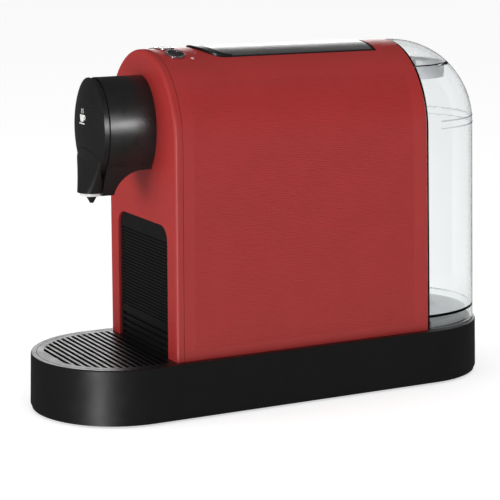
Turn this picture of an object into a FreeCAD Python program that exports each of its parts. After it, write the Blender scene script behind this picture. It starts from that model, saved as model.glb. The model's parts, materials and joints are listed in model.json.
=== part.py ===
"""A capsule espresso machine, modelled piece by piece.

Frame: millimetres, +Z up, the front of the machine faces -Y, the origin is on the floor under the middle
of the base.  Every function that makes one piece is named after its node.
"""

import FreeCAD, Part
import math
import os

os.makedirs("parts", exist_ok=True)

# ---- driving dimensions -----------------------------------------------------------------------------------
LENGTH = 365.0            # base, nose to tail
WIDTH = 128.0             # base, across
FOOT_GAP = 1.5            # feet lift the base off the floor
BASE_HEIGHT = 40.0
BODY_HALF = 57.3          # half width of the red arch body
BODY_FRONT = -98.2        # plane of the front face
CROWN_Z = 257.8           # top of the arch
SPRING_Z = 195.4          # where the straight sides end and the arch begins
HAUNCH_R = 67.6           # radius of the arch's sides
SLANT = 0.030             # the rear edge leans forward by this much per millimetre of height
REAR_Y = 112.4            # body's rear edge at the base top
WALL = 2.5                # moulded covers
GAP = 0.4                 # between moving pieces
SEAM = 0.3                # between fixed pieces
FAR = 60.0                # half width of a cutting block, wider than the cover

# ---- derived ----------------------------------------------------------------------------------------------
END_R = WIDTH / 2
END_Y = LENGTH / 2 - END_R            # centres of the base's round ends
BASE_Z = FOOT_GAP
DECK_Z = FOOT_GAP + BASE_HEIGHT       # top face of the base
DRAFT = 1.0
PLATE_T = 2.5
PLATE_TOP = BASE_Z + PLATE_T
FRAME_DEPTH = 5.5                     # depth of the front frame's rim
CASING_FRONT = BODY_FRONT + FRAME_DEPTH + SEAM

# head
HEAD_Z = 203.5
HEAD_A = 27.0                         # half width
HEAD_B = 36.3                         # half height
HEAD_FRONT = BODY_FRONT - 39.5        # plane of the front rim
HOUSING_FRONT = HEAD_FRONT + 4.5
DOME_RISE = 6.0                       # how far the front cap bulges
SPOUT_Y = HEAD_FRONT + 0.5
SPOUT_R = 10.2
SPOUT_Z = 158.6                       # lower rim of the spout
NECK_INSET = 3.3                      # the drum's neck through the front face
NOZZLE_R = 7.8
NOZZLE_TOP = SPOUT_Z + 10.0
DUCT_R = 3.2                          # the drop from the duct into the nozzle
CHIN_TOP_Z = HEAD_Z - 18.0
CHIN_HALF = 22.5
CHIN_SEAM_Z = HEAD_Z - 13.0
SCOOP_Z = HEAD_Z - 29.0               # underside of the head beside the body
SCOOP_R = 19.0

# lever
LEVER_HALF = 24.0
LEVER_NOSE = -58.0
PIVOT_Y = 78.0
PIVOT_Z = CROWN_Z - 8.6
LEVER_TAIL = 4.2                      # how far the lever reaches behind its axle
SLOT_GAP = 0.7
NOSE_GAP = 1.6
PLATE_PROUD = 0.4
PLATE_EDGE = 1.4                      # black border round the metal skin
GRIP_PROUD = 1.5
LEVER_PLATE_T = 1.6
LEVER_SKIN = 3.4
AXLE_R = 2.0
RUN_FIT = 0.05
LEVER_PLATE_Y = -37.0                 # where the plate's sides end and its round front begins
LEVER_PLATE_REACH = 14.0
LEVER_GRIP_Y = -42.0
KNUCKLE_IN = 13.0
KNUCKLE_OUT = 20.0
KNUCKLE_R = 4.6
EAR_IN = 6.0
EAR_OUT = 11.0
EAR_R = 3.7
GEAR_T = 8.0
PRESSURE = math.radians(20.0)
BACKLASH = 0.18
GEAR_MODULE = 1.75
GEAR_TEETH = 24
GEAR_R = GEAR_MODULE * GEAR_TEETH / 2
RACK_Z = PIVOT_Z - GEAR_R

# buttons
BUTTON_Y = -79.0
BUTTON_STEP = 17.5                    # spacing across the crown
BUTTON_R = 5.0
RING_R = 7.2
LED_X = 24.0
LED_Y = -68.6
LED_R = 1.2

# brew unit
BREW_Z = 206.0
CAGE_R = 20.5
CAGE_FRONT = -60.0
CAGE_REAR = -26.5
INJECTOR_Y0 = CAGE_REAR + 1.6
INJECTOR_Y1 = -19.0
CHUTE_HALF = 20.8
BAR_X = 23.2                          # inner face of the carriage's side bars
BAR_T = 3.6

# recess, bin and tray
OPENING_HALF = 42.5
OPENING_TOP = 136.5
OPENING_CORNER = 11.0
BIN_GAP = 0.6
BIN_REAR = -22.0
BIN_FLOOR = DECK_Z + GAP
PANEL_SET = 1.6                       # ribbed panel behind the front face
FINE_PITCH = 2.4
COARSE_PITCH = 4.8
COARSE_COUNT = 4                      # coarse grooves at the panel's foot
FINE_LOW = 66.0                       # lowest fine groove
FINE_BORDER = 8.0                     # plain strip above the fine grooves
PANEL_T = 4.0
GRID_T = 3.2
GRID_BORDER = 10.2
TRAY_WALL = 2.2
TRAY_R = END_R - 5.0                  # opening in the base's nose that the tray stands in
TRAY_REAR = BODY_FRONT - 0.8

# tank
TANK_AXIS_Y = 117.0                   # where the round tail begins, at the base top
TANK_REACH = 64.9                     # length of the round tail behind that
TANK_WALL = 2.2
DOCK_INSET = 6.0
TANK_Z = DECK_Z + 0.5
TANK_FLOOR_Z = DECK_Z + 9.0
LID_Z = 239.5                         # the tank's mouth
LID_SKIRT = 10.0                      # how far the lid's collar hangs into the tank
COLLAR_REACH = 4.0                    # how far it stands up inside the lid
COLLAR_WALL = 1.8
VALVE_Y = 140.0
SOCKET_R = 13.0
BOSS_OUT = 8.8                        # the valve housing under the tank
BOSS_IN = 6.6
BOSS_Z = DECK_Z - 4.5
WEB_Z = BOSS_Z + 3.0                  # the valve stem's guide
WEB_T = 1.6
STEM_R = 2.0
PORT_R = 3.0
COLLAR_Z = WEB_Z + WEB_T + 0.3        # the stem's collar, which the closing spring rests on
COLLAR_T = 0.8
SPRING_R = 3.9
SPRING_WIRE_R = 0.35
SPRING_TURNS = 4

# pump
PUMP_X = -24.0
PUMP_Y = 50.0
PUMP_TOP = 154.0
FEED_R = 2.6                          # the hose under the pump
FEED_LOW = 31.0
FEED_HIGH = 57.0
HOSE_HOLE_R = 5.0
CHASSIS_T = 3.0
CHASSIS_Z = DECK_Z + CHASSIS_T
CHASSIS_REAR = 98.0
BULKHEAD_TOP = 172.0


def vec(x, y, z):
    return FreeCAD.Vector(x, y, z)


def box(x0, y0, z0, x1, y1, z1):
    return Part.makeBox(x1 - x0, y1 - y0, z1 - z0, vec(x0, y0, z0))


def rod(radius, start, end):
    """A round bar from start to end."""
    run = end - start
    return Part.makeCylinder(radius, run.Length, start, run)


def tube(outer, inner, start, end):
    return rod(outer, start, end).cut(rod(inner, start, end))


def fuse(*shapes):
    whole = shapes[0]
    for shape in shapes[1:]:
        whole = whole.fuse(shape)
    return whole.removeSplitter()


def mirrored(shape):
    """The same piece on the other side of the machine."""
    return shape.mirror(vec(0, 0, 0), vec(1, 0, 0))


# ---- outlines ---------------------------------------------------------------------------------------------
def stadium_wire(radius, z):
    """The base's plan: straight sides joined by half circles."""
    left = Part.LineSegment(vec(-radius, END_Y, z), vec(-radius, -END_Y, z))
    nose = Part.Arc(vec(-radius, -END_Y, z), vec(0, -END_Y - radius, z), vec(radius, -END_Y, z))
    right = Part.LineSegment(vec(radius, -END_Y, z), vec(radius, END_Y, z))
    tail = Part.Arc(vec(radius, END_Y, z), vec(0, END_Y + radius, z), vec(-radius, END_Y, z))
    return Part.Wire([part.toShape() for part in (left, nose, right, tail)])


def stadium(radius, z0, z1, top_radius=None):
    lower = stadium_wire(radius, z0)
    if top_radius is None:
        return Part.Face(lower).extrude(vec(0, 0, z1 - z0))
    return Part.makeLoft([lower, stadium_wire(top_radius, z1)], True, True)


def arch_arcs(inset):
    """Centre and radius of the crown arc, and the point where it meets the side arc, for an inset arch."""
    half = BODY_HALF - inset
    side_r = HAUNCH_R - inset
    side_x = half - side_r
    rise = CROWN_Z - inset - SPRING_Z
    crown_r = (side_x ** 2 + rise ** 2 - side_r ** 2) / (2 * (rise - side_r))
    crown_z = CROWN_Z - inset - crown_r
    angle = math.atan2(crown_z - SPRING_Z, -side_x)
    return half, side_x, side_r, crown_r, crown_z, angle


def arch_points(inset):
    half, side_x, side_r, crown_r, crown_z, angle = arch_arcs(inset)
    mid = angle / 2
    side_mid = (side_x + side_r * math.cos(mid), SPRING_Z + side_r * math.sin(mid))
    joint = (side_x + side_r * math.cos(angle), SPRING_Z + side_r * math.sin(angle))
    return half, side_mid, joint, CROWN_Z - inset


def arch_wire(inset, y, z0):
    """The body's section across the machine, inset evenly from the outer face."""
    half, side, joint, top = arch_points(inset)

    def at(x, z):
        return vec(x, y, z)

    parts = [
        Part.LineSegment(at(half, z0), at(half, SPRING_Z)),
        Part.Arc(at(half, SPRING_Z), at(*side), at(*joint)),
        Part.Arc(at(*joint), at(0, top), at(-joint[0], joint[1])),
        Part.Arc(at(-joint[0], joint[1]), at(-side[0], side[1]), at(-half, SPRING_Z)),
        Part.LineSegment(at(-half, SPRING_Z), at(-half, z0)),
        Part.LineSegment(at(-half, z0), at(half, z0)),
    ]
    return Part.Wire([part.toShape() for part in parts])


def arch(inset, y0, y1, z0=DECK_Z):
    return Part.Face(arch_wire(inset, y0, z0)).extrude(vec(0, y1 - y0, 0))


def arch_dome(inset, z0):
    """The tank's round tail: half of the arch turned about a vertical axis, drawn out to the rear."""
    half, side, joint, top = arch_points(inset)

    def at(r, z):
        return vec(r, 0, z)

    parts = [
        Part.LineSegment(at(0, z0), at(half, z0)),
        Part.LineSegment(at(half, z0), at(half, SPRING_Z)),
        Part.Arc(at(half, SPRING_Z), at(*side), at(*joint)),
        Part.Arc(at(*joint), at(*crown_mid(inset)), at(0, top)),
        Part.LineSegment(at(0, top), at(0, z0)),
    ]
    face = Part.Face(Part.Wire([part.toShape() for part in parts]))
    stretch = FreeCAD.Matrix()
    stretch.A22 = (TANK_REACH - inset) / half
    stretch.A24 = TANK_AXIS_Y
    return face.revolve(vec(0, 0, 0), vec(0, 0, 1), 180).transformGeometry(stretch)


def crown_mid(inset):
    """A point on the crown arc between its top and its end."""
    _, side_x, _, crown_r, crown_z, angle = arch_arcs(inset)
    mid = (angle + math.pi / 2) / 2
    return crown_r * math.cos(mid), crown_z + crown_r * math.sin(mid)


def crown_height(x):
    """Height of the red crown above the floor at a distance x from the middle."""
    _, _, _, crown_r, crown_z, _ = arch_arcs(0)
    return crown_z + math.sqrt(crown_r ** 2 - x ** 2)


def crown_tilt(x):
    """Angle of the crown's normal away from straight up, in degrees."""
    _, _, _, crown_r, _, _ = arch_arcs(0)
    return math.degrees(math.asin(x / crown_r))


def slanted(shape):
    """The shape leaned forward with height, as the rear of the body and the tank lean."""
    lean = FreeCAD.Matrix()
    lean.A23 = -SLANT
    lean.A24 = SLANT * DECK_Z
    leaned = shape.transformGeometry(lean)
    leaned.fix(1e-5, 1e-5, 1e-3)
    return leaned


def behind(y, z0=0.0, z1=400.0):
    """Everything behind the slanted plane that starts at y on the base top."""
    return slanted(box(-200, y, z0, 200, y + 300, z1))


def ellipse_face(a, b, y, z=HEAD_Z):
    """An upright ellipse across the machine, centred on the head."""
    curve = Part.Ellipse(vec(0, y, z + b), vec(a, y, z), vec(0, y, z))
    return Part.Face(Part.Wire([curve.toShape()]))


def oval(inset, y0, y1):
    return ellipse_face(HEAD_A - inset, HEAD_B - inset, y0).extrude(vec(0, y1 - y0, 0))


def largest(shape):
    return max(shape.Solids, key=lambda solid: solid.Volume)


# ---- base -------------------------------------------------------------------------------------------------
SCREW_SPOTS = [(-50, -60), (50, -60), (-50, 30), (50, 30), (-36, 152), (36, 152)]
SCREW_R = 1.5
SCREW_HEAD_R = 3.0
BOSS_R = 4.0
BOSS_TOP = 34.0
SCREW_DEPTH = BOSS_TOP - 12.0
FOOT_R = 8.0
FOOT_SPOTS = [(-34, -134), (34, -134), (-40, 120), (40, 120), (0, 10)]
INLET_Z = 14.0                        # the mains lead's way out of the tail
INLET_R = 5.0
LEAD_R = 3.4


def base_plate():
    """The bottom plate, which runs the whole length and carries the feet."""
    plate = stadium(END_R - 1.0, BASE_Z, PLATE_TOP)
    for x, y in SCREW_SPOTS:
        plate = plate.cut(rod(SCREW_R + 0.3, vec(x, y, 0), vec(x, y, DECK_Z)))
        plate = plate.cut(rod(SCREW_HEAD_R + 0.3, vec(x, y, 0), vec(x, y, BASE_Z + 1.2)))
    return plate


def rubber_feet():
    return [rod(FOOT_R, vec(x, y, 0), vec(x, y, FOOT_GAP)) for x, y in FOOT_SPOTS]


def base_screws():
    screws = []
    for x, y in SCREW_SPOTS:
        head = rod(SCREW_HEAD_R, vec(x, y, BASE_Z), vec(x, y, BASE_Z + 1.1))
        screws.append(fuse(head, rod(SCREW_R, vec(x, y, BASE_Z), vec(x, y, SCREW_DEPTH))))
    return screws


def base_shell():
    """The black base: side wall and deck, open below, with the tray's opening in its nose."""
    outer = stadium(END_R, PLATE_TOP + SEAM, DECK_Z, END_R - DRAFT)
    outer = outer.makeFillet(1.0, [edge for edge in outer.Edges if edge.BoundBox.ZMin > DECK_Z - 0.01])
    inner = stadium(END_R - WALL, 0, DECK_Z - WALL, END_R - WALL - DRAFT)
    shell = outer.cut(inner).cut(tray_plan(0, DECK_Z - 2 * WALL, DECK_Z + 1))
    shell = shell.cut(rod(SOCKET_R, vec(0, VALVE_Y, 0), vec(0, VALVE_Y, 60)))
    shell = shell.cut(rod(HOSE_HOLE_R, vec(PUMP_X, PUMP_Y, 30), vec(PUMP_X, PUMP_Y, 60)))
    shell = shell.cut(rod(INLET_R, vec(0, LENGTH / 3, INLET_Z), vec(0, LENGTH, INLET_Z)))
    for x, y in SCREW_SPOTS:
        boss = rod(BOSS_R, vec(x, y, PLATE_TOP + SEAM), vec(x, y, DECK_Z - 1))
        shell = shell.fuse(boss).cut(rod(SCREW_R, vec(x, y, 0), vec(x, y, SCREW_DEPTH)))
    return largest(shell.removeSplitter())


def mains_inlet():
    """The bushing in the base's tail that the mains lead comes out of."""
    tail = LENGTH / 2
    bush = rod(INLET_R - 0.1, vec(0, tail - 14, INLET_Z), vec(0, tail - 1.6, INLET_Z))
    collar = rod(INLET_R + 1.6, vec(0, tail - 12, INLET_Z), vec(0, tail - WALL - 2.0, INLET_Z))
    return fuse(bush, collar).cut(rod(LEAD_R, vec(0, tail / 2, INLET_Z), vec(0, tail + 10, INLET_Z)))


# ---- drip tray and bin ------------------------------------------------------------------------------------
def tray_plan(inset, z0, z1):
    """The outline of the tray's opening in the base's nose, inset evenly."""
    return stadium(TRAY_R - inset, z0, z1).common(box(-100, -300, 0, 100, TRAY_REAR - inset, 100))


def drip_tray():
    """The cup that catches drips: it stands on the bottom plate, and the grid lies on its rim."""
    floor_z = PLATE_TOP + GAP
    cup = tray_plan(GAP, floor_z, DECK_Z - GRID_T)
    return cup.cut(tray_plan(GAP + TRAY_WALL, floor_z + 2, DECK_Z))


def drip_grid():
    """The slotted grid that lies on the tray, flush with the deck."""
    grid = tray_plan(GAP, DECK_Z - GRID_T, DECK_Z)
    field_rear = TRAY_REAR - 3.0
    field_r = END_R - GRID_BORDER
    field = stadium(field_r, 0, 60).common(box(-100, -300, 0, 100, field_rear, 100))
    count = int((field_r + field_rear + END_Y) / COARSE_PITCH)
    slots = []
    for row in range(count):
        y = field_rear - 2.5 - row * COARSE_PITCH
        slots.append(box(-100, y - 1.35, 0, 100, y + 1.35, 60))
    slots = Part.makeCompound(slots).common(field)
    spine = box(-1.6, -300, DECK_Z - GRID_T, 1.6, field_rear, DECK_Z - 1.2)
    return largest(fuse(grid.cut(slots), spine.common(grid)))


def capsule_bin():
    """The bin for used capsules: a ribbed front panel and a box behind it, open on top."""
    half = OPENING_HALF - BIN_GAP
    top = OPENING_TOP - BIN_GAP
    front = BODY_FRONT + PANEL_SET
    panel = rounded_top(half, BIN_FLOOR, top, OPENING_CORNER - BIN_GAP, front, front + PANEL_T)
    grooves = []
    for row in range(int((top - FINE_BORDER - FINE_LOW) / FINE_PITCH)):
        z = FINE_LOW + row * FINE_PITCH
        grooves.append(box(-half + 3, front - 1, z, half - 3, front + 0.9, z + FINE_PITCH / 2))
    for row in range(COARSE_COUNT):
        z = BIN_FLOOR + 1.6 + row * COARSE_PITCH
        grooves.append(box(-half + 3, front - 1, z, half - 3, front + 1.8, z + COARSE_PITCH / 2))
    panel = panel.cut(Part.makeCompound(grooves))
    tub = box(-half, front + PANEL_T, BIN_FLOOR, half, BIN_REAR, top - 12)
    tub = tub.cut(box(-half + 2, front + PANEL_T, BIN_FLOOR + 2, half - 2, BIN_REAR - 2, top + 5))
    return fuse(panel, tub)


def rounded_top(half, z0, z1, corner, y0, y1):
    """An upright slab with its two upper corners rounded."""
    slab = box(-half, y0, z0, half, y1, z1)
    upper = [edge for edge in slab.Edges if is_along_y(edge) and edge.CenterOfMass.z > z1 - 1]
    return slab.makeFillet(corner, upper)


def is_along_y(edge):
    ends = [v.Point for v in edge.Vertexes]
    across = math.hypot(ends[0].x - ends[-1].x, ends[0].z - ends[-1].z)
    return len(ends) == 2 and across < 1e-6


# ---- covers -----------------------------------------------------------------------------------------------
def opening(y0, y1):
    return rounded_top(OPENING_HALF, DECK_Z - 20, OPENING_TOP, OPENING_CORNER, y0, y1)


def front_frame():
    """The red front face with its rounded edge, cut out for the bin and for the head."""
    rim = arch(0, BODY_FRONT, BODY_FRONT + FRAME_DEPTH)
    edges = [e for e in rim.Edges if e.BoundBox.YMax < BODY_FRONT + 0.01 and e.BoundBox.ZMax > DECK_Z + 1]
    rim = rim.makeFillet(2.4, edges)
    hollow = arch(WALL, BODY_FRONT + WALL, BODY_FRONT + 20, DECK_Z - 5)
    rim = rim.cut(hollow).cut(opening(BODY_FRONT - 5, BODY_FRONT + 20))
    below_head = box(-FAR, BODY_FRONT - 10, 0, FAR, BODY_FRONT + 30, SCOOP_Z - SEAM)
    return largest(rim.cut(oval(NECK_INSET - SEAM, BODY_FRONT - 5, BODY_FRONT + 20).cut(below_head)))


def casing():
    """The red arch cover, open at both ends and below, with openings for the lever and the buttons."""
    shell = arch(0, CASING_FRONT, 150).cut(arch(WALL, CASING_FRONT - 5, 160, DECK_Z - 5))
    shell = shell.cut(behind(REAR_Y))
    shell = shell.cut(lever_slot())
    for x in button_places():
        shell = shell.cut(along_normal(rod(RING_R + 0.1, vec(0, 0, -8), vec(0, 0, 8)), x, BUTTON_Y))
    for x in (-LED_X, LED_X):
        shell = shell.cut(along_normal(rod(LED_R, vec(0, 0, -8), vec(0, 0, 8)), x, LED_Y))
    return largest(shell)


def lever_slot():
    """The opening in the crown for the lever: it follows the lever's nose and the path of its tail."""
    half = LEVER_HALF + SLOT_GAP
    front = box(-half, LEVER_GRIP_Y, PIVOT_Z - 30, half, PIVOT_Y, CROWN_Z + 20)
    nose = oval_prism(half, LEVER_GRIP_Y - LEVER_NOSE + NOSE_GAP, LEVER_GRIP_Y)
    return front.fuse(nose).fuse(tail_sweep(half, SLOT_GAP))


def oval_prism(half, reach, y):
    """An upright prism on an ellipse as wide as the lever, centred on the middle line at y."""
    wide, deep = vec(half, y, 0), vec(0, y + reach, 0)
    curve = Part.Ellipse(wide, deep, vec(0, y, 0))
    return Part.Face(Part.Wire([curve.toShape()])).extrude(vec(0, 0, 400))


def tail_sweep(half, clearance):
    """The round that the lever's tail edge describes about the axle."""
    steps = 12
    points = [vec(-half, PIVOT_Y, PIVOT_Z)]
    for step in range(steps + 1):
        x = half * (2 * step / steps - 1)
        rise = crown_height(x) + PLATE_PROUD - PIVOT_Z
        points.append(vec(x, PIVOT_Y, PIVOT_Z + math.hypot(LEVER_TAIL, rise) + clearance))
    points += [vec(half, PIVOT_Y, PIVOT_Z), points[0]]
    return Part.Face(Part.makePolygon(points)).revolve(vec(0, PIVOT_Y, PIVOT_Z), vec(1, 0, 0), 360)


def rear_cover():
    """The black bulkhead between the casing and the tank."""
    slab = arch(WALL + SEAM, 60, 150, DECK_Z)
    slab = slab.common(behind(REAR_Y - WALL)).cut(behind(REAR_Y - 0.2))
    return largest(slab)


# ---- head -------------------------------------------------------------------------------------------------
def scoop(shrink):
    """The room that clears a cup: flat beside the body, sweeping down to the back of the spout."""
    radius = SCOOP_R + shrink
    centre_y = SPOUT_Y + SPOUT_R + 3.0 + SCOOP_R
    centre_z = SCOOP_Z - SCOOP_R
    low = box(-60, centre_y, 0, 60, BODY_FRONT + 30, SCOOP_Z - shrink)
    curve = rod(radius, vec(-60, centre_y, centre_z), vec(60, centre_y, centre_z))
    below = box(-60, centre_y - radius, 0, 60, centre_y + 1, centre_z)
    return fuse(low, curve, below)


def funnel():
    """The wedge under the drum that narrows to the spout; the scoop shapes its rear."""
    sections = []
    for radius, z in ((CHIN_HALF, CHIN_TOP_Z), (SPOUT_R - 0.3, SPOUT_Z - 2.0)):
        front, back = SPOUT_Y + 4.0, BODY_FRONT
        right = Part.LineSegment(vec(radius, front, z), vec(radius, back, z))
        rear = Part.LineSegment(vec(radius, back, z), vec(-radius, back, z))
        left = Part.LineSegment(vec(-radius, back, z), vec(-radius, front, z))
        nose = Part.Arc(vec(-radius, front, z), vec(0, front - radius, z), vec(radius, front, z))
        sections.append(Part.Wire([part.toShape() for part in (right, rear, left, nose)]))
    return Part.makeLoft(sections, True, True)


def head_housing():
    """The black oval drum on the front face, with the rear half of the spout."""
    back = BODY_FRONT - 0.1
    drum = oval(0, HOUSING_FRONT, back).cut(oval(WALL, HOUSING_FRONT - 1, back + 1))
    flange = oval(0, back - 2.2, back).cut(oval(5.4, back - 5, back + 5))
    neck = oval(NECK_INSET, back - 2.2, back + 6).cut(oval(5.4, back - 5, back + 10))
    floor = oval(0.4, HOUSING_FRONT, back).common(scoop(-2.2)).cut(scoop(0))
    wedge = funnel().cut(oval(WALL, HOUSING_FRONT - 30, back + 1).cut(scoop(-2.2)))
    whole = fuse(drum, flange, neck, floor, wedge.common(box(-60, -300, 0, 60, back, 300)))
    whole = whole.cut(scoop(0)).cut(spout_body())
    whole = whole.cut(rod(NOZZLE_R + SEAM, vec(0, SPOUT_Y, 0), vec(0, SPOUT_Y, NOZZLE_TOP + 1)))
    whole = whole.cut(rod(DUCT_R + GAP, vec(0, SPOUT_Y, SPOUT_Z), vec(0, SPOUT_Y, HEAD_Z)))
    whole = whole.cut(duct_room())
    return largest(whole.cut(box(-60, -300, 0, 60, HOUSING_FRONT, 300)))


def duct_room():
    """The way for the outlet duct through the head, with a small clearance."""
    floor_z = SCOOP_Z + 2.6
    return box(-8 - GAP, SPOUT_Y, floor_z - GAP, 8 + GAP, BODY_FRONT + 20, floor_z + 12)


def head_ring():
    """The trim ring between the drum and the cap."""
    ring = oval(1.2, HEAD_FRONT + 0.6, HOUSING_FRONT - 0.05).cut(oval(4.0, HEAD_FRONT - 5, HOUSING_FRONT + 5))
    return largest(ring.cut(spout_body()))


def cap_dome():
    """The convex front: a slice of a flattened ball over the oval rim."""
    spread = 1.12
    depth = DOME_RISE / (1 - math.sqrt(1 - 1 / spread ** 2))
    stretch = FreeCAD.Matrix()
    stretch.A11 = HEAD_A * spread
    stretch.A22 = depth
    stretch.A33 = HEAD_B * spread
    stretch.A24 = HEAD_FRONT - DOME_RISE + depth
    stretch.A34 = HEAD_Z
    ball = Part.makeSphere(1.0).transformGeometry(stretch)
    return oval(0, HEAD_FRONT - 20, HEAD_FRONT + 0.5).common(ball)


def seam_cut(offset):
    """Everything under the arched seam between the cap and the chin."""
    drum = rod(34.0, vec(0, -300, CHIN_SEAM_Z - 34.0 - offset), vec(0, 0, CHIN_SEAM_Z - 34.0 - offset))
    return drum.fuse(box(-80, -300, 0, 80, 0, CHIN_SEAM_Z - 34.0 - offset))


def head_cap():
    """The front cap above the seam."""
    return largest(cap_dome().cut(seam_cut(-SEAM / 2)))


def ellipse_wire(half_x, half_y, y, z):
    """A level ellipse, wider than it is deep."""
    half_y = min(half_y, half_x - 0.01)
    curve = Part.Ellipse(vec(half_x, y, z), vec(0, y + half_y, z), vec(0, y, z))
    return Part.Wire([curve.toShape()])


def spout_body():
    """The chin's solid: it grows out of the dome under the cap and narrows to the round spout."""
    rings = []
    steps = 6
    front_top = HEAD_FRONT - 1.0
    back_top = HEAD_FRONT + 1.0
    for step in range(steps + 1):
        part = step / steps
        z = CHIN_TOP_Z + (SPOUT_Z - CHIN_TOP_Z) * part
        front = front_top + (SPOUT_Y - SPOUT_R - front_top) * math.sqrt(part)
        back = back_top + (SPOUT_Y + SPOUT_R - back_top) * part
        half_x = CHIN_HALF + (SPOUT_R - CHIN_HALF) * part
        rings.append(ellipse_wire(half_x, (back - front) / 2, (front + back) / 2, z))
    return Part.makeLoft(rings, True, False)


def spout_cover():
    """The chin: it runs on from the cap and narrows to the round spout."""
    lower = cap_dome().common(seam_cut(SEAM / 2))
    below_seam = spout_body().common(seam_cut(SEAM / 2))
    bore = rod(NOZZLE_R, vec(0, SPOUT_Y, SPOUT_Z - 5), vec(0, SPOUT_Y, NOZZLE_TOP))
    drop = rod(DUCT_R + GAP, vec(0, SPOUT_Y, SPOUT_Z), vec(0, SPOUT_Y, HEAD_Z))
    mouth = box(-6, SPOUT_Y, SCOOP_Z + 2.2, 6, SPOUT_Y + 12, HEAD_Z)
    return largest(fuse(lower, below_seam).cut(bore).cut(drop).cut(mouth))


def outlet_nozzle():
    """The pale insert in the spout."""
    body = rod(NOZZLE_R, vec(0, SPOUT_Y, SPOUT_Z - 2.4), vec(0, SPOUT_Y, NOZZLE_TOP))
    return body.cut(rod(NOZZLE_R - 2.8, vec(0, SPOUT_Y, 0), vec(0, SPOUT_Y, 300)))


def nozzle_tip():
    """The small cone that the coffee runs off."""
    radius = NOZZLE_R - 2.8
    cone = Part.makeCone(1.3, radius, 6.8, vec(0, SPOUT_Y, SPOUT_Z - 7.8))
    stem = rod(radius, vec(0, SPOUT_Y, SPOUT_Z - 1.0), vec(0, SPOUT_Y, SPOUT_Z + 6))
    return fuse(cone, stem).cut(rod(0.8, vec(0, SPOUT_Y, 0), vec(0, SPOUT_Y, 300)))


def outlet_duct():
    """The trough that carries coffee from the brew cage to the spout."""
    floor_z = SCOOP_Z + 2.6
    outer = box(-8, SPOUT_Y + 9, floor_z, 8, -44, floor_z + 6)
    trough = outer.cut(box(-6.4, SPOUT_Y, floor_z + 1.6, 6.4, -45.6, floor_z + 20))
    drop = tube(DUCT_R, DUCT_R - 1.4, vec(0, SPOUT_Y, NOZZLE_TOP + 0.2), vec(0, SPOUT_Y, floor_z + 6))
    link = box(-5, SPOUT_Y + 4.2, floor_z, 5, SPOUT_Y + 9.5, floor_z + 1.6)
    return largest(fuse(trough, drop, link))


# ---- lever ------------------------------------------------------------------------------------------------
def plan(front_centre_y, reach, edge=0.0):
    """The lever's outline seen from above: straight sides and an elliptical front end."""
    half = LEVER_HALF - edge
    rear = box(-half, front_centre_y, 0, half, PIVOT_Y + 30, 400)
    return rear.fuse(oval_prism(half, reach, front_centre_y)).common(lever_envelope())


def lever_envelope():
    """Ahead of the axle everything, behind it only what clears the crown while the lever turns."""
    tail = tail_sweep(LEVER_HALF, 0).common(box(-60, 0, 0, 60, PIVOT_Y + LEVER_TAIL, 400))
    return box(-LEVER_HALF, -200, 0, LEVER_HALF, PIVOT_Y, 400).fuse(tail)


def crown_band(outer_inset, inner_inset):
    """A layer of the crown between two insets."""
    return arch(outer_inset, -90, 110, 150).cut(arch(inner_inset, -95, 115, 145))


def plate_outline():
    """The metal skin's outline, inside the lever's black border."""
    ahead = box(-60, -200, 0, 60, PIVOT_Y + LEVER_TAIL - 2.2, 400)
    return plan(LEVER_PLATE_Y, LEVER_PLATE_REACH, PLATE_EDGE).common(ahead)


def lever_plate():
    """The brushed metal skin on the lever."""
    return largest(crown_band(-PLATE_PROUD, LEVER_PLATE_T).common(plate_outline()))


def gear_outline():
    """Points of the toothed sector in the plane across the axle, as (angle back from down, radius)."""
    base_r = GEAR_R * math.cos(PRESSURE)
    root_r = GEAR_R - 1.25 * GEAR_MODULE
    tip_r = GEAR_R + 0.9 * GEAR_MODULE
    half = math.pi / (2 * GEAR_TEETH) - BACKLASH / GEAR_R
    involute_at_pitch = math.tan(PRESSURE) - PRESSURE
    flank = [(root_r, half + involute_at_pitch)]
    for step in range(5):
        radius = base_r + (tip_r - base_r) * step / 4
        turn = math.acos(min(1.0, base_r / radius))
        flank.append((radius, half + involute_at_pitch - (math.tan(turn) - turn)))
    outline = []
    for tooth in range(-1, 6):
        centre = 2 * math.pi * tooth / GEAR_TEETH
        outline += [(centre - offset, radius) for radius, offset in flank]
        outline += [(centre + offset, radius) for radius, offset in reversed(flank)]
    return outline


def gear_sector():
    points = [vec(0, PIVOT_Y, PIVOT_Z)]
    for angle, radius in gear_outline():
        points.append(vec(0, PIVOT_Y + radius * math.sin(angle), PIVOT_Z - radius * math.cos(angle)))
    face = Part.Face(Part.makePolygon(points + points[:1]))
    return face.extrude(vec(GEAR_T, 0, 0)).translated(vec(-GEAR_T / 2, 0, 0))


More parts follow.
